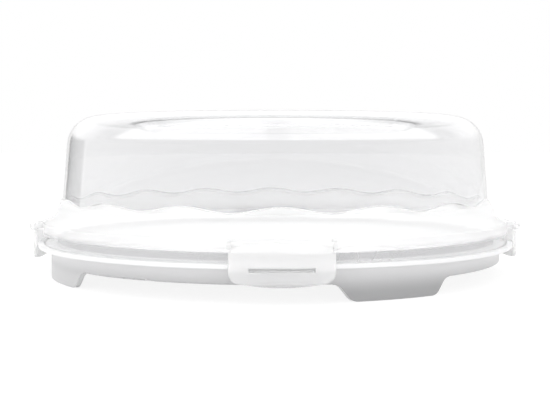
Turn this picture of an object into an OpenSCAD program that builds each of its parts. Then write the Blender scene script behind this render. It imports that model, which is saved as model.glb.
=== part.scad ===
// Round cake carrier: white footed tray, clear domed lid with a scalloped step, four fold-down clips.
// Front is -Y, up is +Z, the origin is at the middle of the footprint, on the table. Sizes in mm.

/* [Tray] */
// outer radius of the rim that the lid stands on
rim_r = 165; // [150:0.5:180]
// height of the rim's underside above the table
rim_z = 20; // [18:0.5:26]
// thickness of the rim
rim_t = 2.5; // [2:0.1:4]
// wall thickness of the tray
tray_t = 2.4; // [1.8:0.1:3]
// how far the skirt under the rim is set back from the rim's edge
skirt_setback = 8.7; // [6:0.1:12]
// height of the skirt's lower edge above the table
skirt_z = 10; // [8:0.5:13]
// how far the ring inside the lid is set back from the rim's edge
ring_setback = 13; // [12:0.1:20]
// height of the ring inside the lid above the rim
ring_h = 5.1; // [3:0.1:8]
// height of the floor's underside above the table
floor_z = 11.5; // [10.5:0.5:15]
// how far the dish wall leans in between the rim and the floor
dish_lean = 6; // [2:0.5:12]
// number of feet
foot_count = 4; // [3:1:6]
// turn of the first foot from the front clip, in degrees
foot_turn = 25.5; // [0:0.5:45]
// half of the foot's width at the table
foot_half_w = 25.5; // [15:0.1:35]
// radial depth of a foot, which carries the skirt's wall down to the table
foot_depth = 3; // [2.4:0.1:16]
// slope of a foot's ends, in degrees
foot_slope = 52; // [35:1:60]
// rounding of a foot's ends
foot_round = 7; // [2:0.5:7.5]

/* [Lid] */
// wall thickness of the lid
lid_t = 2.1; // [1.5:0.1:2.5]
// how far the lid's foot band is set back from the rim's edge
band_setback = 3.3; // [3:0.1:5]
// height of the shelf over the foot band above the table
shelf_z = 36; // [34.5:0.5:38]
// radius of the hollow curve between the shelf and the wall
shelf_curve_r = 10; // [8:0.5:11]
// how far the wall's foot, over the hollow curve, is set back from the rim's edge
wall_setback = 12.4; // [11.5:0.1:14]
// how far the lower wall leans in up to the scalloped step
low_lean = 1.8; // [1:0.1:3]
// depth of the scalloped step
step_depth = 1.7; // [1.6:0.1:3]
// middle height of the scalloped step
step_z = 51.2; // [50:0.1:56]
// number of scallops round the lid
scallop_count = 16; // [12:1:20]
// height of a scallop above and below the middle of the step
scallop_h = 1.75; // [0.8:0.05:1.8]
// how far the upper wall leans in up to the rounded corner
upper_lean = 3.1; // [1:0.1:6]
// full height of the lid's top above the table
top_z = 109.1; // [95:0.5:125]
// rounding of the lid's top corner
top_round = 20.5; // [14:0.5:26]
// width of the flat ring round the dished middle
top_flat_w = 25.5; // [10:0.5:45]
// width of the slope down into the dished middle
dished_slope_w = 7; // [4:0.5:20]
// depth of the dished middle
dished_h = 5.5; // [3:0.5:8]

/* [Clips] */
// half width of a clip
clip_half_w = 29.6; // [20:0.1:34]
// how far each upper corner of a clip is cut in to leave room for its ear
clip_notch = 1.8; // [1.5:0.1:3]
// height of the cut corners' lower edge above the table
clip_notch_z = 29.4; // [27:0.1:29.6]
// thickness of a clip
clip_t = 2.1; // [1.6:0.1:2.4]
// gap between the rim's edge and a clip's inner face
clip_gap = 0.9; // [0.6:0.1:1.2]
// height of a clip's lowest point above the table
clip_low_z = 10.2; // [8:0.1:13]
// radius of a clip's curved lower edge, seen from the front
clip_edge_r = 152; // [80:1:300]
// rounding of a clip's lower corners
clip_round = 7; // [3:0.5:8]
// height of a clip's upper edge above the middle of its hinge pin
clip_top_h = 1.3; // [0.5:0.1:1.4]
// height of the hinge pin's middle above the table
pin_z = 33.7; // [33.2:0.1:34]
// radius of the hinge pin
pin_r = 1.5; // [1:0.05:1.6]
// distance of the hinge pin's middle from the lid's foot band
pin_reach = 3.5; // [3.4:0.05:3.8]
// half width of the window in a clip
window_half_w = 18.35; // [10:0.05:20]
// height of the window's lower edge above the table
window_z = 18.5; // [17.5:0.1:19]
// height of the window
window_h = 2.5; // [1.5:0.1:3]
// height of the hook's lower face above the table
hook_z = 16.6; // [15:0.1:17]
// height of the hook
hook_h = 3; // [2:0.1:3.1]
// how far the hook reaches in past the rim's edge
hook_reach = 1.1; // [0.5:0.1:2]

/* [Ears] */
// outer radius of an ear round the hinge pin
ear_r = 3; // [2.6:0.1:3.4]
// width of an ear along the pin
ear_w = 2.6; // [1.6:0.1:3]
// running clearance between the hinge pin and an ear's bore
pin_clearance = 0.08; // [0.02:0.01:0.1]
// gap between a clip's side and an ear
ear_gap = 0.3; // [0.2:0.05:0.5]
// width of an ear's open mouth
mouth_w = 2.4; // [1.6:0.1:2.8]

/* [Hidden] */
$fn = 96;
rim_top_z = rim_z + rim_t;
skirt_r = rim_r - skirt_setback;
ring_r = rim_r - ring_setback;
ring_mid_r = ring_r - tray_t / 2;
ring_top_z = rim_top_z + ring_h;
foot_in_r = skirt_r - foot_depth;
// the top of a foot, hidden inside the skirt
foot_top_z = floor_z + tray_t / 2;
foot_arc_w = foot_round * sin(foot_slope);
foot_arc_h = foot_round * (1 - cos(foot_slope));
foot_slope_w = (skirt_z - 2 * foot_arc_h) / tan(foot_slope);
foot_top_half_w = foot_half_w + 2 * foot_arc_w + foot_slope_w;
// a turn to both sides that takes in a whole foot
foot_reach_turn = 30;
arc_steps = 8;
band_r = rim_r - band_setback;
low_wall_r = rim_r - wall_setback;
step_low_r = low_wall_r - low_lean;
step_top_r = step_low_r - step_depth;
flat_r = step_top_r - upper_lean - top_round;
dished_rim_r = flat_r - top_flat_w;
dished_floor_r = dished_rim_r - dished_slope_w;
shelf_curve_x = low_wall_r + shelf_curve_r;
shelf_curve_z = shelf_z + shelf_curve_r;
// the plain ledge is a little under the lowest point of the scallops
ledge_z = step_z - scallop_h - 0.4;
round_z = top_z - top_round;
// the skirt and the dome of the lid meet half way up the short slope inside the wall
skirt_top_z = (shelf_curve_z + ledge_z - lid_t) / 2;
wall_lean = atan(upper_lean / (round_z - ledge_z));
skin_in_r = step_top_r - lid_t / 2;
skin_out_r = step_low_r - 0.1;
skin_top_z = step_z + 2 * scallop_h;
// a crest and a trough are each half of a scallop, and lap a little at their sides
scallop_run = PI * skin_out_r / (2 * scallop_count);
scallop_half_w = scallop_run + 0.2;
scallop_r = (scallop_run * scallop_run + scallop_h * scallop_h) / (2 * scallop_h);
// the scallops' cutting blocks start inside the wall
scallop_from_r = skin_in_r - 4;
ledge_bite = 1;
clip_in_r = rim_r + clip_gap;
clip_out_r = clip_in_r + clip_t;
clip_top_z = pin_z + clip_top_h;
clip_neck_half_w = clip_half_w - clip_notch;
clip_turn = atan(clip_half_w / rim_r) + 4;
hook_in_r = rim_r - hook_reach;
hook_half_w = window_half_w - 1;
hook_turn = asin(hook_half_w / clip_in_r);
pin_y = band_r + pin_reach;
ear_in_x = clip_neck_half_w + ear_gap;
ear_out_x = ear_in_x + ear_w;
pin_half_w = ear_out_x - 0.2;
// how far an ear's foot reaches in past the band's radius, to where the band curves back
ear_root = 3.4;
mouth_turn = 35;
past = 1;
front = 0;
right = 90;
rear = 180;
left = 270;
white = [0.95, 0.95, 0.95];
clear = [0.86, 0.88, 0.9, 0.4];
frosted = [0.94, 0.95, 0.96, 0.8];

// points along an arc from one angle to another, for a cut outline
function arc_points(x, y, r, from, to) =
    [for (i = [0:arc_steps]) let (a = from + (to - from) * i / arc_steps) [x + r * cos(a), y + r * sin(a)]];

// a ring of rectangular section round the Z axis
module ring(in_r, out_r, low_z, high_z) {
    rotate_extrude()
        translate([in_r, low_z])
            square([out_r - in_r, high_z - low_z]);
}

// the same ring over a limited turn to both sides of the front
module front_arc(in_r, out_r, low_z, high_z, turn) {
    rotate([0, 0, -90 - turn])
        rotate_extrude(angle = 2 * turn)
            translate([in_r, low_z])
                square([out_r - in_r, high_z - low_z]);
}

// an outline in X and Z, drawn out towards the front
module front_cut(reach) {
    rotate([90, 0, 0])
        linear_extrude(reach)
            children();
}

module tray_section() {
    translate([0, floor_z])
        square([ring_r - dish_lean - tray_t / 2, tray_t]);
    // leaning dish wall
    polygon([[ring_r - dish_lean - tray_t, floor_z],
        [ring_r - dish_lean, floor_z],
        [ring_r, rim_z],
        [ring_r, rim_top_z],
        [ring_r - tray_t, rim_top_z],
        [ring_r - tray_t, rim_z]]);
    translate([ring_r - tray_t, rim_z])
        square([rim_r - ring_r + tray_t, rim_t]);
    // ring inside the lid, with a rounded top edge
    translate([ring_r - tray_t, rim_z])
        square([tray_t, ring_top_z - rim_z - tray_t / 2]);
    translate([ring_mid_r, ring_top_z - tray_t / 2])
        circle(r = tray_t / 2);
    // skirt with a rounded lower edge
    translate([skirt_r - tray_t, skirt_z + tray_t / 2])
        square([tray_t, rim_z - skirt_z]);
    translate([skirt_r - tray_t / 2, skirt_z + tray_t / 2])
        circle(r = tray_t / 2);
}

// one end of a foot: rounded over at the table, straight, then a hollow curve up to the skirt
function foot_end(side) = [
    for (p = concat(
        arc_points(foot_half_w, foot_round, foot_round, -90, foot_slope - 90),
        arc_points(foot_top_half_w, skirt_z - foot_round, foot_round, 90 + foot_slope, 90)))
        [side * p[0], p[1]]];

// the whole outline of a foot, seen from outside
module foot_outline() {
    right_end = foot_end(1);
    left_end = foot_end(-1);
    last = len(left_end) - 1;
    polygon(concat(
        right_end,
        [[foot_top_half_w, foot_top_z], [-foot_top_half_w, foot_top_z]],
        [for (i = [last:-1:0]) left_end[i]]));
}

module foot() {
    intersection() {
        front_arc(foot_in_r, skirt_r, 0, foot_top_z, foot_reach_turn);
        front_cut(rim_r)
            foot_outline();
    }
}

module base_tray() {
    color(white) {
        rotate_extrude()
            tray_section();
        for (i = [0:foot_count - 1])
            rotate([0, 0, foot_turn + i * 360 / foot_count])
                foot();
    }
}

// the lid's outline as a solid, drawn in by an inset
module lid_outline(inset) {
    translate([0, rim_top_z - (inset > 0 ? past : 0)])
        square([band_r - inset, shelf_z - inset - rim_top_z + (inset > 0 ? past : 0)]);
    // hollow curve over the shelf
    difference() {
        translate([0, shelf_z - inset])
            square([band_r - inset, shelf_curve_r + inset]);
        translate([shelf_curve_x, shelf_curve_z])
            circle(r = shelf_curve_r + inset);
    }
    polygon([[0, shelf_curve_z],
        [low_wall_r - inset, shelf_curve_z],
        [step_low_r - inset, ledge_z - inset],
        [0, ledge_z - inset]]);
    polygon([[0, ledge_z - inset],
        [step_top_r - inset, ledge_z - inset],
        [flat_r + (top_round - inset) * cos(wall_lean), round_z + (top_round - inset) * sin(wall_lean)],
        [0, round_z + (top_round - inset) * sin(wall_lean)]]);
    translate([0, round_z])
        square([flat_r, top_round - inset]);
    translate([flat_r, round_z])
        circle(r = top_round - inset);
}

// the dished middle of the lid's top, carried down by an inset
module dished_middle(inset) {
    rise = inset + past;
    wall_run = (dished_rim_r - dished_floor_r) / dished_h;
    polygon([[0, top_z - dished_h - inset],
        [dished_floor_r + inset, top_z - dished_h - inset],
        [dished_rim_r + inset + wall_run * rise, top_z - inset + rise],
        [0, top_z - inset + rise]]);
}

module lid_section() {
    difference() {
        difference() {
            lid_outline(0);
            dished_middle(0);
        }
        difference() {
            lid_outline(lid_t);
            dished_middle(lid_t);
        }
    }
}

// the room that the skirt's section takes up
module skirt_room() {
    translate([0, rim_z])
        square([rim_r, skirt_top_z - rim_z]);
}

// an outline in X and Z, drawn out across the lid's wall at the front
module edge_block() {
    translate([0, -scallop_from_r, 0])
        front_cut(skin_out_r + ledge_bite - scallop_from_r)
            children();
}

// a low round-topped block at the front, for a scallop's crest
module scallop_crest() {
    edge_block()
        intersection() {
            translate([0, step_z + scallop_h - scallop_r])
                circle(r = scallop_r);
            translate([-scallop_half_w, step_z - ledge_bite])
                square([2 * scallop_half_w, skin_top_z - step_z]);
        }
}

// the space over a scallop's trough
module scallop_trough() {
    edge_block()
        intersection() {
            translate([0, step_z - scallop_h + scallop_r])
                circle(r = scallop_r);
            translate([-scallop_half_w, step_z - 2 * scallop_h])
                square([2 * scallop_half_w, 2 * scallop_h + ledge_bite]);
        }
}

// the scalloped edge of the lower wall, lapped over the foot of the upper wall
module scalloped_edge() {
    intersection() {
        ring(skin_in_r, skin_out_r, ledge_z - ledge_bite, skin_top_z);
        difference() {
            union() {
                translate([0, 0, ledge_z - 2 * ledge_bite])
                    cylinder(r = skin_out_r + 2 * ledge_bite, h = step_z - ledge_z + 2 * ledge_bite);
                for (i = [0:scallop_count - 1])
                    rotate([0, 0, i * 360 / scallop_count])
                        scallop_crest();
            }
            for (i = [0:scallop_count - 1])
                rotate([0, 0, (i + 0.5) * 360 / scallop_count])
                    scallop_trough();
        }
    }
}

// one open-mouthed ear on the lid for a clip's pin
module ear(side) {
    translate([side * (ear_in_x + ear_w / 2), -pin_y, pin_z])
        rotate([0, 90, 0])
            difference() {
                union() {
                    cylinder(r = ear_r, h = ear_w, center = true);
                    translate([-ear_r, 0, -ear_w / 2])
                        cube([1.5 * ear_r, pin_reach + ear_root, ear_w]);
                }
                cylinder(r = pin_r + pin_clearance, h = ear_w + 2 * past, center = true);
                rotate([0, 0, 180 + mouth_turn])
                    translate([0, -mouth_w / 2, -ear_w])
                        cube([2 * ear_r, mouth_w, 2 * ear_w]);
            }
}

// the lid's foot band, shelf and hollow curve, with the ears
module lid_skirt() {
    color(clear) {
        rotate_extrude()
            intersection() {
                lid_section();
                skirt_room();
            }
        for (turn = [front, right, rear, left])
            rotate([0, 0, turn]) {
                ear(1);
                ear(-1);
            }
    }
}

// the lid's wall and top
module lid_dome() {
    color(clear) {
        rotate_extrude()
            difference() {
                lid_section();
                skirt_room();
            }
        scalloped_edge();
    }
}

// a clip seen from the front
module clip_outline() {
    corner_x = clip_half_w - clip_round;
    corner_sag = clip_edge_r - sqrt(clip_edge_r * clip_edge_r - corner_x * corner_x);
    corner_z = clip_low_z + corner_sag + clip_round;
    difference() {
        union() {
            translate([-clip_half_w, corner_z])
                square([2 * clip_half_w, clip_notch_z - corner_z]);
            translate([-clip_neck_half_w, corner_z])
                square([2 * clip_neck_half_w, clip_top_z - corner_z]);
            intersection() {
                translate([-corner_x, clip_low_z])
                    square([2 * corner_x, corner_z + past - clip_low_z]);
                translate([0, clip_low_z + clip_edge_r])
                    circle(r = clip_edge_r);
            }
            for (side = [-1, 1])
                translate([side * corner_x, corner_z])
                    circle(r = clip_round);
        }
        translate([-window_half_w, window_z])
            square([2 * window_half_w, window_h]);
    }
}

// a clip without its hook, at the front
module clip_panel() {
    intersection() {
        front_arc(clip_in_r, clip_out_r, clip_low_z - past, clip_top_z, clip_turn);
        front_cut(clip_out_r + past)
            clip_outline();
    }
    translate([-pin_half_w, -pin_y, pin_z])
        rotate([0, 90, 0])
            cylinder(r = pin_r, h = 2 * pin_half_w);
}

// the rib inside a clip that snaps under the rim
module clip_hook(lap) {
    front_arc(hook_in_r, clip_in_r + lap, hook_z, hook_z + hook_h, hook_turn);
}

module clip(turn) {
    color(frosted)
        rotate([0, 0, turn])
            clip_panel();
}

module hook(turn, lap = 0) {
    color(frosted)
        rotate([0, 0, turn])
            clip_hook(lap);
}

module front_clip() {
    clip(front);
}

module front_clip_hook() {
    hook(front);
}

module right_clip() {
    clip(right);
}

module right_clip_hook() {
    hook(right);
}

module rear_clip() {
    clip(rear);
    hook(rear, clip_t / 2);
}

module left_clip() {
    clip(left);
}

module left_clip_hook() {
    hook(left);
}

base_tray();
lid_skirt();
lid_dome();
front_clip();
front_clip_hook();
right_clip();
right_clip_hook();
rear_clip();
left_clip();
left_clip_hook();
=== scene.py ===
import bpy
import math
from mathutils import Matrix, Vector


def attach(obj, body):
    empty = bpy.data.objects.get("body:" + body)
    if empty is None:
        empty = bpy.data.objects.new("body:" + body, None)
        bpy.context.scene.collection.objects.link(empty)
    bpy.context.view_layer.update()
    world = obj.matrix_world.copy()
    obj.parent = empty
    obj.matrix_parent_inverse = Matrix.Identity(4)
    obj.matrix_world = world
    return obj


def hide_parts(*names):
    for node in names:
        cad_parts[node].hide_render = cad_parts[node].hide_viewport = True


# The part is 336 mm across. Lengths below are in millimetres unless a name says otherwise.
mm = 0.001
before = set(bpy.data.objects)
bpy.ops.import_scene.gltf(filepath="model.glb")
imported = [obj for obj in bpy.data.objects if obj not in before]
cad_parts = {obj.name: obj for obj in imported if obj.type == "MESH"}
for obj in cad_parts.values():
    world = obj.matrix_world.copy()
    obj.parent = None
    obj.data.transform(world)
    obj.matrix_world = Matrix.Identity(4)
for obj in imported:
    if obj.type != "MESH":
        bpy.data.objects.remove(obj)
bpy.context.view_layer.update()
print("frame loaded:", sorted(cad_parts))


# helpers for objects and node trees

def addObject(name, data):
    made = bpy.data.objects.new(name, data)
    bpy.context.scene.collection.objects.link(made)
    return made


def newMaterial(name):
    material = bpy.data.materials.new(name)
    material.use_nodes = True
    material.node_tree.nodes.clear()
    return material, material.node_tree


def addNode(tree, kind, place, **settings):
    node = tree.nodes.new(kind)
    node.location = place
    for key, value in settings.items():
        setattr(node, key, value)
    return node


def feed(tree, value, socket):
    if isinstance(value, bpy.types.NodeSocket):
        tree.links.new(value, socket)
    else:
        socket.default_value = value


def newGroup(name, inputs, outputs):
    tree = bpy.data.node_groups.new(name, "ShaderNodeTree")
    for label, kind, default in inputs:
        socket = tree.interface.new_socket(name=label, in_out="INPUT", socket_type=kind)
        socket.default_value = default
    for label, kind in outputs:
        tree.interface.new_socket(name=label, in_out="OUTPUT", socket_type=kind)
    given = addNode(tree, "NodeGroupInput", (-900, 0))
    made = addNode(tree, "NodeGroupOutput", (700, 0))
    return tree, given, made


def placeGroup(tree, group, place, **values):
    node = addNode(tree, "ShaderNodeGroup", place, node_tree=group)
    for label, value in values.items():
        node.inputs[label].default_value = value
    return node


def combine(tree, operation, place, first, second=None, clamp=False):
    node = addNode(tree, "ShaderNodeMath", place, operation=operation, use_clamp=clamp)
    feed(tree, first, node.inputs[0])
    if second is not None:
        feed(tree, second, node.inputs[1])
    return node.outputs[0]


mixSockets = {"FLOAT": (2, 3, 0), "RGBA": (6, 7, 2)}   # where the Mix node keeps A, B and the result


def mixed(tree, kind, place, share, low, high):
    node = addNode(tree, "ShaderNodeMix", place, data_type=kind)
    lowAt, highAt, resultAt = mixSockets[kind]
    feed(tree, share, node.inputs[0])
    feed(tree, low, node.inputs[lowAt])
    feed(tree, high, node.inputs[highAt])
    return node.outputs[resultAt]


def mixedShaders(tree, place, share, low, high):
    node = addNode(tree, "ShaderNodeMixShader", place)
    for value, socket in zip((share, low, high), node.inputs):
        tree.links.new(value, socket)
    return node.outputs["Shader"]


def ramp(tree, place, source, span, low, high):
    node = addNode(tree, "ShaderNodeMapRange", place, interpolation_type="SMOOTHSTEP")
    labels = ("Value", "From Min", "From Max", "To Min", "To Max")
    for label, value in zip(labels, (source, *span, low, high)):
        feed(tree, value, node.inputs[label])
    return node.outputs["Result"]


def cloudNoise(tree, place, vector, scale, detail):
    node = addNode(tree, "ShaderNodeTexNoise", place)
    for label, value in (("Vector", vector), ("Scale", scale), ("Detail", detail)):
        feed(tree, value, node.inputs[label])
    return node.outputs["Fac"]


def placeAxes(tree, place, output="Object"):
    way = addNode(tree, "ShaderNodeTexCoord", place)
    split = addNode(tree, "ShaderNodeSeparateXYZ", (place[0] + 200, place[1]))
    tree.links.new(way.outputs[output], split.inputs[0])
    return split.outputs


# effects that more than one material uses

noiseMiddle = 0.5            # the noise drifts to both sides of this

mouldSkin = {
    "grainScale": 900.0,     # fine grain of the mould's steel
    "grainDetail": 2.0,
    "flowScale": 14.0,       # slow waves of the melt as it fills the mould
    "flowDetail": 1.5,
    "flowStretch": (1.0, 1.0, 0.35),
}


def buildMouldSkin():
    tree, given, made = newGroup("mouldSkin", [
        ("Grain", "NodeSocketFloat", 0.3),
        ("Flow", "NodeSocketFloat", 0.5),
        ("Roughness", "NodeSocketFloat", 0.3),
        ("Roughness Spread", "NodeSocketFloat", 0.05),
    ], [("Roughness", "NodeSocketFloat"), ("Height", "NodeSocketFloat")])
    link = tree.links.new
    spot = addNode(tree, "ShaderNodeTexCoord", (-900, -300)).outputs["Object"]
    stretch = addNode(tree, "ShaderNodeMapping", (-700, -300))
    stretch.inputs["Scale"].default_value = mouldSkin["flowStretch"]
    link(spot, stretch.inputs["Vector"])
    grain = cloudNoise(tree, (-500, 100), spot, mouldSkin["grainScale"], mouldSkin["grainDetail"])
    flow = cloudNoise(tree, (-500, -300), stretch.outputs["Vector"],
                      mouldSkin["flowScale"], mouldSkin["flowDetail"])
    grainPart = combine(tree, "MULTIPLY", (-250, 100), grain, given.outputs["Grain"])
    flowPart = combine(tree, "MULTIPLY", (-250, -100), flow, given.outputs["Flow"])
    height = combine(tree, "ADD", (0, 0), grainPart, flowPart)
    centred = combine(tree, "SUBTRACT", (-250, -350), flow, noiseMiddle)
    spread = combine(tree, "MULTIPLY", (0, -300), centred, given.outputs["Roughness Spread"])
    rough = combine(tree, "ADD", (250, -200), spread, given.outputs["Roughness"], clamp=True)
    link(rough, made.inputs["Roughness"])
    link(height, made.inputs["Height"])
    return tree


toneDrift = {
    "detail": 3.0,
}


def buildToneDrift():
    tree, given, made = newGroup("toneDrift", [
        ("Light Tone", "NodeSocketColor", (0.9, 0.9, 0.9, 1.0)),
        ("Dark Tone", "NodeSocketColor", (0.8, 0.8, 0.8, 1.0)),
        ("Scale", "NodeSocketFloat", 9.0),
        ("Amount", "NodeSocketFloat", 0.3),
    ], [("Color", "NodeSocketColor")])
    spot = addNode(tree, "ShaderNodeTexCoord", (-900, -300)).outputs["Object"]
    cloud = cloudNoise(tree, (-600, -200), spot, given.outputs["Scale"], toneDrift["detail"])
    share = combine(tree, "MULTIPLY", (-300, -100), cloud, given.outputs["Amount"], clamp=True)
    tone = mixed(tree, "RGBA", (0, 0), share, given.outputs["Light Tone"], given.outputs["Dark Tone"])
    tree.links.new(tone, made.inputs["Color"])
    return tree


heightFade = {
    "cloud": 0.03,           # how much the fade wanders
    "cloudScale": 18.0,
    "cloudDetail": 2.0,
}


def buildHeightFade():
    tree, given, made = newGroup("heightFade", [
        ("Low Height", "NodeSocketFloat", 0.0),
        ("High Height", "NodeSocketFloat", 0.01),
        ("Low Value", "NodeSocketFloat", 0.0),
        ("High Value", "NodeSocketFloat", 1.0),
        ("Cloud", "NodeSocketFloat", heightFade["cloud"]),
    ], [("Value", "NodeSocketFloat")])
    axes = placeAxes(tree, (-900, -300))
    span = (given.outputs["Low Height"], given.outputs["High Height"])
    fade = ramp(tree, (-300, 0), axes["Z"], span, given.outputs["Low Value"], given.outputs["High Value"])
    spot = addNode(tree, "ShaderNodeTexCoord", (-900, -500)).outputs["Object"]
    cloud = cloudNoise(tree, (-600, -500), spot, heightFade["cloudScale"], heightFade["cloudDetail"])
    centred = combine(tree, "SUBTRACT", (-400, -450), cloud, noiseMiddle)
    drift = combine(tree, "MULTIPLY", (-200, -400), centred, given.outputs["Cloud"])
    total = combine(tree, "ADD", (100, 0), fade, drift, clamp=True)
    tree.links.new(total, made.inputs["Value"])
    return tree


outwardShare = {
    "from": 0.3,             # cosines of the turn away from straight outward
    "to": 0.8,
}


def buildOutwardShare():
    tree, given, made = newGroup("outwardShare", [
        ("From", "NodeSocketFloat", outwardShare["from"]),
        ("To", "NodeSocketFloat", outwardShare["to"]),
    ], [("Value", "NodeSocketFloat")])
    link = tree.links.new
    place = addNode(tree, "ShaderNodeTexCoord", (-900, -300))
    level = addNode(tree, "ShaderNodeVectorMath", (-700, -200), operation="MULTIPLY")
    level.inputs[1].default_value = (1.0, 1.0, 0.0)   # drops the height
    link(place.outputs["Object"], level.inputs[0])
    outward = addNode(tree, "ShaderNodeVectorMath", (-500, -200), operation="NORMALIZE")
    link(level.outputs["Vector"], outward.inputs[0])
    facing = addNode(tree, "ShaderNodeVectorMath", (-300, -200), operation="DOT_PRODUCT")
    link(outward.outputs["Vector"], facing.inputs[0])
    link(place.outputs["Normal"], facing.inputs[1])
    span = (given.outputs["From"], given.outputs["To"])
    share = ramp(tree, (0, 0), facing.outputs["Value"], span, 0.0, 1.0)
    link(share, made.inputs["Value"])
    return tree


mouldSkinGroup = buildMouldSkin()
toneDriftGroup = buildToneDrift()
heightFadeGroup = buildHeightFade()
outwardShareGroup = buildOutwardShare()
print("shared effects made")


# materials

trayFinish = {
    "lightTone": (0.86, 0.86, 0.865, 1.0),
    "darkTone": (0.80, 0.80, 0.81, 1.0),
    "bands": [
        # painted shade: the outer faces are painted darker towards the table, in place of the shade near
        # the floor
        {"tone": (0.38, 0.38, 0.385, 1.0), "z": (4.0, 21.5), "share": (1.0, 0.0), "outer": True},
        # painted light: the left foot is painted lighter, in place of light falling on it from the left
        {"tone": (0.58, 0.58, 0.585, 1.0), "z": (7.0, 14.0), "share": (1.0, 0.0), "outer": True,
         "x": (-125.0, -70.0), "shareAcross": (1.0, 0.0)},
        # the ring inside the lid, shaded in its narrow groove
        {"tone": (0.58, 0.58, 0.59, 1.0), "z": (22.8, 23.6), "share": (0.0, 1.0)},
    ],
    "driftScale": 9.0,
    "driftAmount": 0.35,
    "roughness": 0.32,
    "roughnessSpread": 0.10,
    "grain": 0.25,
    "flow": 0.35,
    "bump": 0.05,
    "ior": 1.49,
    "edgeRound": 0.35,       # radius of the moulded edges
    "shine": 0.4,
}

clearFinish = {
    "lightTone": (0.918, 0.918, 0.923, 1.0),
    "darkTone": (0.898, 0.898, 0.903, 1.0),
    "driftScale": 6.0,
    "driftAmount": 0.5,
    "roughness": 0.02,
    "roughnessSpread": 0.02,
    "grain": 0.02,
    "flow": 0.6,
    "bump": 0.04,
    "ior": 1.49,
    "transmission": 1.0,
    "shine": 0.5,
    "shadowTint": (0.97, 0.97, 0.97, 1.0),
}

frostFinish = {
    "lightTone": (0.96, 0.96, 0.965, 1.0),
    "darkTone": (0.93, 0.93, 0.935, 1.0),
    "driftScale": 10.0,
    "driftAmount": 0.4,
    "roughness": 0.42,
    "roughnessSpread": 0.06,
    "grain": 0.5,
    "flow": 0.2,
    "bump": 0.06,
    "ior": 1.49,
    "alphaShare": (0.10, 0.42),   # cover of one face at the polished foot and over it; a wall is two faces
    "alphaZ": (28.5, 32.5),
    "bleed": 1.0,
    "bleedReach": 4.0,
    "shine": 0.3,
}

clipFinish = {
    "lightTone": (0.98, 0.98, 0.985, 1.0),
    "darkTone": (0.95, 0.95, 0.955, 1.0),
    "bands": [
        # painted shade: the lower part is painted darker on top of the shaded skirt that shows through it,
        # then its thin lower edge is painted darker still for the shade under it
        {"tone": (0.83, 0.83, 0.835, 1.0), "z": (17.6, 20.4), "share": (1.0, 0.0), "outer": True},
        {"tone": (0.52, 0.52, 0.525, 1.0), "z": (10.8, 12.4), "share": (1.0, 0.0), "outer": True},
    ],
    "driftScale": 22.0,
    "driftAmount": 0.4,
    "roughness": 0.38,
    "roughnessSpread": 0.06,
    "grain": 0.5,
    "flow": 0.3,
    "bump": 0.06,
    "ior": 1.49,
    "alpha": 0.50,
    "bleed": 0.8,
    "bleedReach": 3.0,
    "edgeRound": 0.3,
    "shine": 0.4,
}


def fadeByHeight(tree, place, heights, shares):
    fade = placeGroup(tree, heightFadeGroup, place, **{
        "Low Height": heights[0] * mm, "High Height": heights[1] * mm,
        "Low Value": shares[0], "High Value": shares[1]})
    return fade.outputs["Value"]


def bandShare(tree, band, place):
    x, y = place
    share = fadeByHeight(tree, place, band["z"], band["share"])
    if "outer" in band:
        facing = placeGroup(tree, outwardShareGroup, (x, y + 150))
        share = combine(tree, "MULTIPLY", (x + 300, y + 100), share, facing.outputs["Value"])
    if "x" in band:
        axes = placeAxes(tree, (x - 300, y + 300))
        span = [edge * mm for edge in band["x"]]
        across = ramp(tree, (x + 300, y + 300), axes["X"], span, *band["shareAcross"])
        share = combine(tree, "MULTIPLY", (x + 500, y + 200), share, across)
    return share


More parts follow.
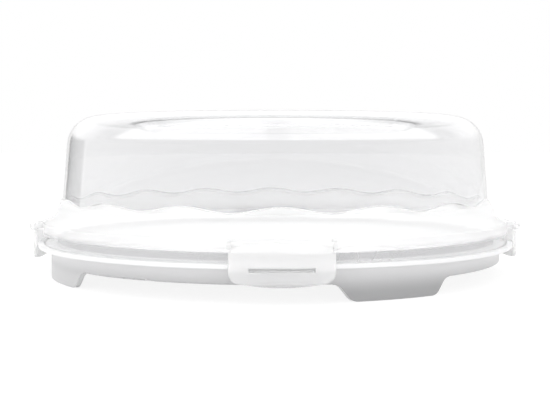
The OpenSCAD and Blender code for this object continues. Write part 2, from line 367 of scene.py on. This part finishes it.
def plasticMaterial(name, finish):
    material, tree = newMaterial(name)
    link = tree.links.new
    output = addNode(tree, "ShaderNodeOutputMaterial", (900, 0))
    shader = addNode(tree, "ShaderNodeBsdfPrincipled", (250, 0))
    surface = shader.outputs["BSDF"]
    if "shadowTint" in finish:   # lamps shine through the clear wall
        lamp = addNode(tree, "ShaderNodeLightPath", (250, 400))
        clear = addNode(tree, "ShaderNodeBsdfTransparent", (250, -600))
        clear.inputs["Color"].default_value = finish["shadowTint"]
        shadow = lamp.outputs["Is Shadow Ray"]
        surface = mixedShaders(tree, (650, 0), shadow, surface, clear.outputs["BSDF"])
    link(surface, output.inputs["Surface"])
    tone = placeGroup(tree, toneDriftGroup, (-350, 250), **{
        "Light Tone": finish["lightTone"], "Dark Tone": finish["darkTone"],
        "Scale": finish["driftScale"], "Amount": finish["driftAmount"]})
    skin = placeGroup(tree, mouldSkinGroup, (-350, -100), **{
        "Grain": finish["grain"], "Flow": finish["flow"],
        "Roughness": finish["roughness"], "Roughness Spread": finish["roughnessSpread"]})
    bump = addNode(tree, "ShaderNodeBump", (0, -250))
    bump.inputs["Strength"].default_value = finish["bump"]
    bump.inputs["Distance"].default_value = mm
    link(skin.outputs["Height"], bump.inputs["Height"])
    if "edgeRound" in finish:
        edge = addNode(tree, "ShaderNodeBevel", (-200, -350), samples=4)
        edge.inputs["Radius"].default_value = finish["edgeRound"] * mm
        link(edge.outputs["Normal"], bump.inputs["Normal"])
    shown = tone.outputs["Color"]
    for i, band in enumerate(finish.get("bands", [])):
        share = bandShare(tree, band, (-900, 600 + 400 * i))
        shown = mixed(tree, "RGBA", (0, 400 + 200 * i), share, shown, band["tone"])
    link(shown, shader.inputs["Base Color"])
    link(skin.outputs["Roughness"], shader.inputs["Roughness"])
    link(bump.outputs["Normal"], shader.inputs["Normal"])
    shader.inputs["IOR"].default_value = finish["ior"]
    shader.inputs["Specular IOR Level"].default_value = finish["shine"]
    shader.inputs["Transmission Weight"].default_value = finish.get("transmission", 0.0)
    if "bleed" in finish:   # light that soaks through the frosted wall, alike for all colours
        shader.inputs["Subsurface Weight"].default_value = finish["bleed"]
        shader.inputs["Subsurface Radius"].default_value = (1.0, 1.0, 1.0)
        shader.inputs["Subsurface Scale"].default_value = finish["bleedReach"] * mm
    if "alphaZ" in finish:
        cover = fadeByHeight(tree, (-350, -500), finish["alphaZ"], finish["alphaShare"])
        link(cover, shader.inputs["Alpha"])
    else:
        shader.inputs["Alpha"].default_value = finish.get("alpha", 1.0)
    return material


trayWhite = plasticMaterial("trayWhite", trayFinish)
lidClear = plasticMaterial("lidClear", clearFinish)
lidFrosted = plasticMaterial("lidFrosted", frostFinish)
clipFrosted = plasticMaterial("clipFrosted", clipFinish)
print("materials made")


# outlines turned round the axis: each row has a radius r, a height z, the outline's direction there,
# and how it rides up and down with the scallops

def arcRows(centre, radius, fromDeg, toDeg, steps, ride=(0.0, 0.0)):
    rows = []
    turn = 1.0 if toDeg > fromDeg else -1.0
    for i in range(steps + 1):
        a = math.radians(fromDeg + (toDeg - fromDeg) * i / steps)
        rows.append({
            "r": centre[0] + radius * math.cos(a), "z": centre[1] + radius * math.sin(a),
            "alongR": -turn * math.sin(a), "alongZ": turn * math.cos(a), "ride": ride})
    return rows


def cornerRows(before, corner, after, radius, steps, ride=(0.0, 0.0)):
    a, c, b = (Vector((p[0], p[1])) for p in (before, corner, after))
    into, out = (c - a).normalized(), (b - c).normalized()
    cross = into.x * out.y - into.y * out.x
    angle = math.atan2(cross, into.dot(out))
    back = radius * math.tan(abs(angle) / 2)
    side = 1.0 if cross > 0 else -1.0
    start = c - into * back
    centre = start + Vector((-into.y, into.x)) * radius * side
    first = math.degrees(math.atan2(start.y - centre.y, start.x - centre.x))
    return arcRows((centre.x, centre.y), radius, first, first + math.degrees(angle), steps, ride)


def plainRow(point, along):
    return [{"r": point[0], "z": point[1], "alongR": along[0], "alongZ": along[1], "ride": (0.0, 0.0)}]


lidShape = {
    "wall": 2.1,
    "bandR": 161.7,
    "bandLow": 22.5,
    "bandGap": 0.25,             # from the inner curve's end down to the plain inside of the band
    "curveAt": (162.6, 46.0),    # middle of the hollow curve under the wall
    "curveR": 10.0,
    "curveTurnDeg": 75.6,
    "ridgeRound": 0.7,
    "rimRound": 0.6,
    "wallFootR": 152.6,
    "wallFootRound": 0.25,
    "ledgeZ": 49.05,
    "stepOuterR": 150.7,
    "stepZ": 51.2,
    "stepTopR": 149.1,
    "stepRound": 0.5,
    "innerStepFall": 0.35,       # inside, the step is a soft slope
    "innerStepDrop": 2.0,
    "innerStepRounds": (1.2, 0.4),
    "waveHeight": 1.75,
    "waves": 16,
    "roundAt": (125.5, 88.6),    # middle of the rounded top corner
    "roundR": 20.5,
    "topZ": 109.1,
    "dishRimR": 100.0,
    "dishFloorR": 93.0,
    "dishDepth": 5.5,
    "dishRound": 6.0,
    "dishFloorRound": 6.6,
    "flatR": 40.0,
    "segments": 384,
}

# steps of the lid's round stretches
lidSteps = {
    "dish": 6,
    "innerRound": 24,
    "outerRound": 28,
    "curve": 18,
    "innerStep": (5, 4),
    "step": 6,
    "wallFoot": 3,
    "ridge": 6,
    "rim": 5,
}

upright = (0.0, 1.0)
far = 20.0   # any length, where a point only gives a direction


def leanOf(shape):
    run = shape["stepTopR"] - shape["roundAt"][0] - shape["roundR"]
    return math.degrees(math.atan(run / (shape["roundAt"][1] - shape["ledgeZ"])))


def innerRows(shape, steps):
    t = shape["wall"]
    lean = leanOf(shape)
    leanRun = math.tan(math.radians(lean))
    roof = shape["topZ"] - t
    floorZ = shape["topZ"] - shape["dishDepth"] - t
    flat = (shape["flatR"], floorZ)
    slopeIn = (shape["dishFloorR"] + t, floorZ)
    slopeOut = (shape["dishRimR"] + t, roof)
    # underside of the dished middle, from the axis out
    rows = plainRow((0.0, floorZ), (1.0, 0.0))
    rows += plainRow(flat, (1.0, 0.0))
    rows += cornerRows(flat, slopeIn, slopeOut, shape["dishFloorRound"], steps["dish"])
    rows += cornerRows(slopeIn, slopeOut, (shape["roundAt"][0], roof), shape["dishRound"], steps["dish"])
    rows += arcRows(shape["roundAt"], shape["roundR"] - t, 90.0, lean, steps["innerRound"])
    # inner wall, down to the inside of the hollow curve, through a soft step that follows the outside
    highRound, lowRound = shape["innerStepRounds"]
    highSteps, lowSteps = steps["innerStep"]
    fall = shape["innerStepFall"]
    stepIn = shape["stepZ"] - t
    wallSide = (shape["stepTopR"] - t, stepIn)
    lowSide = (shape["stepOuterR"] - t, stepIn - fall)
    above = (wallSide[0] - leanRun * far, stepIn + far)
    under = (lowSide[0] + fall, stepIn - shape["innerStepDrop"])
    rows += cornerRows(above, wallSide, lowSide, highRound, highSteps, (-leanRun, 1.0))
    rows += cornerRows(wallSide, lowSide, under, lowRound, lowSteps, upright)
    endDeg = 180.0 + shape["curveTurnDeg"]
    rows += arcRows(shape["curveAt"], shape["curveR"] + t, 180.0, endDeg, steps["curve"])
    # inside of the foot band, down to its rim
    endR = shape["bandR"] - t
    low = shape["bandLow"]
    over, corner, outside = (endR, low + far), (endR, low), (shape["bandR"], low)
    rows += plainRow((endR, rows[-1]["z"] - shape["bandGap"]), (0.0, -1.0))
    rows += cornerRows(over, corner, outside, shape["rimRound"], steps["rim"])
    return rows


def outerRows(shape, steps):
    cx, cz = shape["curveAt"]
    lean = leanOf(shape)
    leanRun = math.tan(math.radians(lean))
    bandR, low, ridge = shape["bandR"], shape["bandLow"], shape["ridgeRound"]
    rows = cornerRows((bandR - shape["wall"], low), (bandR, low), (bandR, low + far),
                      shape["rimRound"], steps["rim"])
    # ridge between the foot band and the hollow curve
    dx = bandR - ridge - cx
    dz = -math.sqrt((shape["curveR"] + ridge) ** 2 - dx * dx)
    turnDeg = math.degrees(math.atan2(-dz, -dx))
    rows += arcRows((bandR - ridge, cz + dz), ridge, 0.0, turnDeg, steps["ridge"])
    rows += arcRows((cx, cz), shape["curveR"], 180.0 + turnDeg, 180.0, steps["curve"])
    # leaning foot of the wall, then the scalloped step
    stepZ, outR = shape["stepZ"], shape["stepOuterR"]
    topR = shape["stepTopR"] - leanRun * (stepZ - shape["ledgeZ"])
    ledge, crest, inside = (outR, shape["ledgeZ"]), (outR, stepZ), (topR, stepZ)
    above = (topR - leanRun * far, stepZ + far)
    rows += cornerRows((shape["wallFootR"], cz), ledge, crest, shape["wallFootRound"], steps["wallFoot"])
    rows += cornerRows(ledge, crest, inside, shape["stepRound"], steps["step"], upright)
    rows += cornerRows(crest, inside, above, shape["stepRound"], steps["step"], (-leanRun, 1.0))
    # rounded corner and dished middle, in to the axis
    rows += arcRows(shape["roundAt"], shape["roundR"], lean, 90.0, steps["outerRound"])
    floorZ = shape["topZ"] - shape["dishDepth"]
    flat = (shape["flatR"], floorZ)
    slopeTop = (shape["dishRimR"], shape["topZ"])
    slopeLow = (shape["dishFloorR"], floorZ)
    roof = (shape["roundAt"][0], shape["topZ"])
    rows += cornerRows(roof, slopeTop, slopeLow, shape["dishRound"], steps["dish"])
    rows += cornerRows(slopeTop, slopeLow, flat, shape["dishFloorRound"], steps["dish"])
    rows += plainRow(flat, (-1.0, 0.0))
    rows += plainRow((0.0, floorZ), (-1.0, 0.0))
    return rows


def turnedMesh(name, rows, segments, waveAt):
    verts, normals, faces, start = [], [], [], []
    single = [row["r"] == 0.0 for row in rows]
    for row, onAxis in zip(rows, single):
        start.append(len(verts))
        if onAxis:
            verts.append((0.0, 0.0, row["z"] * mm))
            normals.append((0.0, 0.0, -row["alongR"]))
            continue
        rideR, rideZ = row["ride"]
        for i in range(segments):
            a = 2 * math.pi * i / segments
            lift, slope = waveAt(a)
            r = row["r"] + lift * rideR
            z = row["z"] + lift * rideZ
            # azimuth 0 is the front, -Y, and it grows towards +X
            outward = Vector((math.sin(a), -math.cos(a), 0.0))
            around = Vector((math.cos(a), math.sin(a), 0.0))
            turn = outward * (slope * rideR) + around * r + Vector((0, 0, slope * rideZ))
            along = outward * row["alongR"] + Vector((0, 0, row["alongZ"]))
            verts.append((outward * r * mm + Vector((0, 0, z * mm)))[:])
            normals.append(turn.cross(along).normalized()[:])
    for j in range(len(rows) - 1):
        a, b = start[j], start[j + 1]
        for i in range(segments):
            k = (i + 1) % segments
            if single[j]:
                faces.append((a, b + k, b + i))
            elif single[j + 1]:
                faces.append((a + i, a + k, b))
            else:
                faces.append((a + i, a + k, b + k, b + i))
    mesh = bpy.data.meshes.new(name)
    mesh.from_pydata(verts, [], faces)
    mesh.shade_smooth()
    mesh.normals_split_custom_set_from_vertices(normals)
    return mesh


# height of the scallops' line over its middle at an azimuth, and its slope
def scallopWave(a):
    n, high = lidShape["waves"], lidShape["waveHeight"]
    return high * math.cos(n * a), -n * high * math.sin(n * a)


frostEdge = {
    "outsideR": 148.5,       # faces farther out than this are on the outside
    "underOutside": 0.1,     # how far under the scallops' line the frosted finish ends
    "underInside": 1.8,
}


def isFrosted(centre):
    line = lidShape["stepZ"] + scallopWave(math.atan2(centre.x, -centre.y))[0]
    outside = math.hypot(centre.x, centre.y) / mm > frostEdge["outsideR"]
    return centre.z / mm < line - frostEdge["underOutside" if outside else "underInside"]


def buildLid():
    rows = innerRows(lidShape, lidSteps) + outerRows(lidShape, lidSteps)
    mesh = turnedMesh("lidShell", rows, lidShape["segments"], scallopWave)
    mesh.materials.append(lidClear)
    mesh.materials.append(lidFrosted)
    for polygon in mesh.polygons:
        if isFrosted(polygon.center):
            polygon.material_index = 1
    lidShell = addObject("lidShell", mesh)
    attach(lidShell, "lid")
    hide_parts("lid_skirt", "lid_dome")
    print("lid shell:", len(mesh.vertices), "points")


buildLid()

# open-mouthed ears that hold the clips' pins, one pair at each clip
earShape = {
    "pinY": 165.2,
    "pinZ": 33.7,
    "outerR": 3.0,
    "boreR": 1.58,
    "mouthHalf": 1.2,
    "mouthTurnDeg": 55.0,    # the mouth opens up and out
    "fromX": 28.1,
    "toX": 30.7,
    "footReach": 6.9,        # how far the foot reaches in from the pin
    "footLow": -1.5,
    "stepDeg": 9.0,
    "edgeBevel": 0.22,
    "bevelSteps": 2,
    "bevelFromDeg": 50.0,
    "sharpFromDeg": 35.0,
}


def roundRun(radius, fromDeg, toDeg, stepDeg):
    count = max(2, round(abs(toDeg - fromDeg) / stepDeg))
    turns = [math.radians(fromDeg + (toDeg - fromDeg) * i / count) for i in range(count + 1)]
    return [(radius * math.cos(a), radius * math.sin(a)) for a in turns]


def earOutline(shape):
    outer, bore, mouth = shape["outerR"], shape["boreR"], shape["mouthTurnDeg"]
    low, foot, step = shape["footLow"], shape["footReach"], shape["stepDeg"]
    outside = math.degrees(math.asin(shape["mouthHalf"] / outer))
    inside = math.degrees(math.asin(shape["mouthHalf"] / bore))
    meetDeg = -180.0 + math.degrees(math.asin(-low / outer))
    points = roundRun(outer, mouth - outside, meetDeg, step)
    points += [(-foot, low), (-foot, outer)]
    points += roundRun(outer, 90.0, mouth + outside, step)
    points += roundRun(bore, mouth + inside, mouth - inside + 360.0, step)
    return points


def buildEars():
    verts, faces = [], []
    outline = earOutline(earShape)
    n = len(outline)
    for turn in range(4):
        c, s = math.cos(turn * math.pi / 2), math.sin(turn * math.pi / 2)
        for side in (-1, 1):
            start = len(verts)
            for x in sorted((side * earShape["fromX"], side * earShape["toX"])):
                for out, up in outline:
                    y = -(earShape["pinY"] + out)
                    z = earShape["pinZ"] + up
                    verts.append(((x * c - y * s) * mm, (x * s + y * c) * mm, z * mm))
            faces.append([start + i for i in range(n)])
            faces.append([start + n + i for i in reversed(range(n))])
            for i in range(n):
                k = (i + 1) % n
                faces.append([start + k, start + i, start + n + i, start + n + k])
    mesh = bpy.data.meshes.new("lidEars")
    mesh.from_pydata(verts, [], faces)
    mesh.shade_smooth()
    mesh.set_sharp_from_angle(angle=math.radians(earShape["sharpFromDeg"]))
    mesh.materials.append(lidFrosted)
    ears = addObject("lidEars", mesh)
    bevel = ears.modifiers.new("earEdges", "BEVEL")
    bevel.width = earShape["edgeBevel"] * mm
    bevel.segments = earShape["bevelSteps"]
    bevel.limit_method = "ANGLE"
    bevel.angle_limit = math.radians(earShape["bevelFromDeg"])
    bevel.harden_normals = True
    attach(ears, "lid")


buildEars()
print("ears made")


# finishes on the carried-over pieces

def dress(node, material):
    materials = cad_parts[node].data.materials
    materials.clear()
    materials.append(material)


dress("base_tray", trayWhite)
for side in ("front", "right", "rear", "left"):
    dress(side + "_clip", clipFrosted)
    if side != "rear":
        dress(side + "_clip_hook", clipFrosted)
print("carried-over pieces finished")


# studio: floor, white surround, soft lights
# a direction is given by its X, Y or Z share: Y grows towards the backdrop, and Z is the sine of its height

studio = {
    "floorHalfMetres": 30.0,
    "floorDropMetres": 0.0003,
    "floorTone": (0.85, 0.85, 0.85, 1.0),
    "floorSeenTone": (0.17, 0.17, 0.17, 1.0),
    "floorGlow": 0.89,
    "seenWhite": 1.0,
    "roomLevel": 0.82,
    # brighter panels for matt faces only: to the left and right, behind the camera, and the backdrop
    "sideLevel": 1.4,
    "sideWide": (0.55, 0.85),
    "sideHigh": (0.25, 0.50),
    "frontLevel": 1.25,
    "frontWide": (0.55, 0.85),
    "frontHigh": (0.25, 0.50),
    "backLevel": 1.5,
    "backWide": (0.25, 0.55),
    "backHigh": (0.45, 0.70),
    # what gloss sees: the room behind the camera, the bank of lights overhead with a thin gap in its
    # middle, and a brighter field above the backdrop for the lid's rounded corner
    "frontGloss": 0.40,
    "frontFade": (-1.0, 0.3),
    "bankGloss": 3.0,
    "bankLow": (0.21, 0.31),
    "bankBack": (0.04, 0.20),
    "bankGap": (0.02, 0.14),
    "bankGapShare": 0.7,
    "cornerGloss": 1.4,
    "cornerBack": (0.32, 0.55),
    "cornerLow": (0.08, 0.28),
}


def seenMask(tree, place):
    x, y = place
    path = addNode(tree, "ShaderNodeLightPath", place)
    seen = path.outputs["Is Camera Ray"]
    for i, ray in enumerate(("Is Glossy Ray", "Is Transmission Ray")):
        seen = combine(tree, "MAXIMUM", (x + 200 + 200 * i, y), seen, path.outputs[ray])
    # only before the first bounce off a matt face
    direct = combine(tree, "LESS_THAN", (x + 200, y - 200), path.outputs["Diffuse Depth"], 0.5)
    return combine(tree, "MULTIPLY", (x + 600, y), seen, direct)


def stageSheet(name, corners, material):
    mesh = bpy.data.meshes.new(name)
    mesh.from_pydata(corners, [], [(0, 1, 2, 3)])
    mesh.materials.append(material)
    sheet = addObject(name, mesh)
    return sheet


def buildFloor():
    material, tree = newMaterial("paperFloor")
    link = tree.links.new
    output = addNode(tree, "ShaderNodeOutputMaterial", (700, 0))
    paper = addNode(tree, "ShaderNodeBsdfDiffuse", (200, 100))
    glow = addNode(tree, "ShaderNodeEmission", (200, -100))
    both = addNode(tree, "ShaderNodeAddShader", (450, 0))
    seen = seenMask(tree, (-900, -200))
    tone = mixed(tree, "RGBA", (0, 100), seen, studio["floorTone"], studio["floorSeenTone"])
    level = combine(tree, "MULTIPLY", (0, -150), seen, studio["floorGlow"])
    link(tone, paper.inputs["Color"])
    link(level, glow.inputs["Strength"])
    link(paper.outputs[0], both.inputs[0])
    link(glow.outputs[0], both.inputs[1])
    link(both.outputs[0], output.inputs["Surface"])
    half, low = studio["floorHalfMetres"], -studio["floorDropMetres"]
    corners = [(-half, -half, low), (half, -half, low), (half, half, low), (-half, half, low)]
    stageSheet("studioFloor", corners, material)


def glossLevel(tree, place):
    x, y = place
    axes = placeAxes(tree, place, "Generated")
    white = studio["seenWhite"]
    room = ramp(tree, (x + 400, y), axes["Y"], studio["frontFade"], studio["frontGloss"], white)
    rise = ramp(tree, (x + 400, y + 300), axes["Z"], studio["bankLow"], 0.0, 1.0)
    back = ramp(tree, (x + 400, y + 600), axes["Y"], studio["bankBack"], 1.0, 0.0)
    side = combine(tree, "ABSOLUTE", (x + 400, y + 900), axes["X"])
    gap = ramp(tree, (x + 600, y + 900), side, studio["bankGap"], studio["bankGapShare"], 1.0)
    bank = combine(tree, "MULTIPLY", (x + 700, y + 400), rise, back)
    bank = combine(tree, "MULTIPLY", (x + 850, y + 500), bank, gap)
    deep = ramp(tree, (x + 400, y - 300), axes["Y"], studio["cornerBack"], 0.0, 1.0)
    high = ramp(tree, (x + 400, y - 600), axes["Z"], studio["cornerLow"], 0.0, 1.0)
    field = combine(tree, "MULTIPLY", (x + 600, y - 400), deep, high)
    level = mixed(tree, "FLOAT", (x + 800, y - 200), field, room, studio["cornerGloss"])
    level = mixed(tree, "FLOAT", (x + 1000, y + 200), bank, level, studio["bankGloss"])
    path = addNode(tree, "ShaderNodeLightPath", (x + 1000, y - 200))
    return mixed(tree, "FLOAT", (x + 1200, y), path.outputs["Is Glossy Ray"], white, level)


def roomGlow(tree, place):
    x, y = place
    axes = placeAxes(tree, place, "Generated")
    side = combine(tree, "ABSOLUTE", (x + 400, y), axes["X"])
    front = combine(tree, "MULTIPLY", (x + 400, y - 600), axes["Y"], -1.0)
    level = studio["roomLevel"]
    for i, (panel, source) in enumerate((("side", side), ("front", front), ("back", axes["Y"]))):
        down = y - 600 * i
        wide = ramp(tree, (x + 600, down), source, studio[panel + "Wide"], 0.0, 1.0)
        low = ramp(tree, (x + 600, down - 300), axes["Z"], studio[panel + "High"], 1.0, 0.0)
        share = combine(tree, "MULTIPLY", (x + 800, down), wide, low)
        level = mixed(tree, "FLOAT", (x + 1000 + 200 * i, down), share, level, studio[panel + "Level"])
    return level


def whiteGlow(tree, place, level):
    node = addNode(tree, "ShaderNodeBackground", place)
    node.inputs["Color"].default_value = (1.0, 1.0, 1.0, 1.0)
    tree.links.new(level, node.inputs["Strength"])
    return node.outputs[0]


def buildSurround():
    world = bpy.data.worlds.new("whiteSurround")
    bpy.context.scene.world = world
    world.use_nodes = True
    tree = world.node_tree
    tree.nodes.clear()
    output = addNode(tree, "ShaderNodeOutputWorld", (900, 0))
    shown = whiteGlow(tree, (400, 150), glossLevel(tree, (-1200, 500)))
    room = whiteGlow(tree, (400, -50), roomGlow(tree, (-1200, -500)))
    surround = mixedShaders(tree, (700, 0), seenMask(tree, (-600, 0)), room, shown)
    tree.links.new(surround, output.inputs["Surface"])


# an upright dark card that only gloss sees: it draws the dark band along the lid's left edge
edgeCard = {
    "fromMetres": (-0.47, 0.62),
    "toMetres": (-0.766, 0.330),
    "heightMetres": 0.24,
    "fadeUpMetres": (0.155, 0.222),       # it thins out upward, where the lid's flat top would mirror it,
    "fadeLeftMetres": (-0.766, -0.725),   # and towards both ends
    "fadeRightMetres": (-0.515, -0.47),
    "tone": (0.02, 0.02, 0.02, 1.0),
}


def buildEdgeCard():
    material, tree = newMaterial("cardFelt")
    output = addNode(tree, "ShaderNodeOutputMaterial", (500, 0))
    felt = addNode(tree, "ShaderNodeBsdfDiffuse", (0, 0))
    felt.inputs["Color"].default_value = edgeCard["tone"]
    clear = addNode(tree, "ShaderNodeBsdfTransparent", (0, 200))
    axes = placeAxes(tree, (-800, 0))
    low = ramp(tree, (-400, 100), axes["Z"], edgeCard["fadeUpMetres"], 1.0, 0.0)
    left = ramp(tree, (-400, -200), axes["X"], edgeCard["fadeLeftMetres"], 0.0, 1.0)
    right = ramp(tree, (-400, -500), axes["X"], edgeCard["fadeRightMetres"], 1.0, 0.0)
    middle = combine(tree, "MULTIPLY", (-200, -300), left, right)
    cover = combine(tree, "MULTIPLY", (0, -200), low, middle)
    surface = mixedShaders(tree, (250, 0), cover, clear.outputs[0], felt.outputs[0])
    tree.links.new(surface, output.inputs["Surface"])
    (ax, ay), (bx, by), high = edgeCard["fromMetres"], edgeCard["toMetres"], edgeCard["heightMetres"]
    corners = [(ax, ay, 0.0), (bx, by, 0.0), (bx, by, high), (ax, ay, high)]
    card = stageSheet("edgeCard", corners, material)
    card.visible_camera = False
    card.visible_diffuse = False
    card.visible_transmission = False
    card.visible_shadow = False


softboxes = {
    "sizeMetres": (0.95, 1.15),
    "aimMetres": (0.0, -0.05, 0.07),
    "lamps": {
        "softboxLeft": {"placeMetres": (-0.50, -0.56, 0.92), "watts": 4.5},
        "softboxRight": {"placeMetres": (0.52, -0.56, 0.92), "watts": 2.5},
    },
}


def buildLights():
    for name, box in softboxes["lamps"].items():
        data = bpy.data.lights.new(name, "AREA")
        data.shape = "RECTANGLE"
        data.size, data.size_y = softboxes["sizeMetres"]
        data.energy = box["watts"]
        lamp = addObject(name, data)
        lamp.location = box["placeMetres"]
        lamp.visible_camera = False
        lamp.visible_glossy = False
        aim = Vector(softboxes["aimMetres"]) - Vector(box["placeMetres"])
        lamp.rotation_euler = aim.to_track_quat("-Z", "Y").to_euler()


cameraSetup = {
    "distanceMetres": 0.7,
    "heightMetres": 0.0853,
    "turnDeg": -1.28,
    "focalPixels": 977.0,
    "framePixels": (550, 412),
    "axisPixels": (275.3, 150.4),   # where the lid's axis meets the horizon
    "sensor": 36.0,
    "clipMetres": (0.05, 200.0),
}


def buildCamera():
    data = bpy.data.cameras.new("photoCamera")
    camera = addObject("photoCamera", data)
    width, height = cameraSetup["framePixels"]
    across, down = cameraSetup["axisPixels"]
    turn = math.radians(cameraSetup["turnDeg"])
    reach = cameraSetup["distanceMetres"]
    camera.location = (reach * math.sin(turn), -reach * math.cos(turn), cameraSetup["heightMetres"])
    look = Vector((-math.sin(turn), math.cos(turn), 0.0))
    camera.rotation_mode = "QUATERNION"
    camera.rotation_quaternion = look.to_track_quat("-Z", "Y")
    data.sensor_width = cameraSetup["sensor"]
    data.lens = cameraSetup["focalPixels"] / width * data.sensor_width
    data.shift_x = (width / 2 - across) / width
    data.shift_y = (down - height / 2) / width
    data.clip_start, data.clip_end = cameraSetup["clipMetres"]
    bpy.context.scene.camera = camera


buildFloor()
buildEdgeCard()
buildSurround()
buildLights()
buildCamera()
bpy.context.scene.view_settings.view_transform = "Standard"
print("studio and camera made")
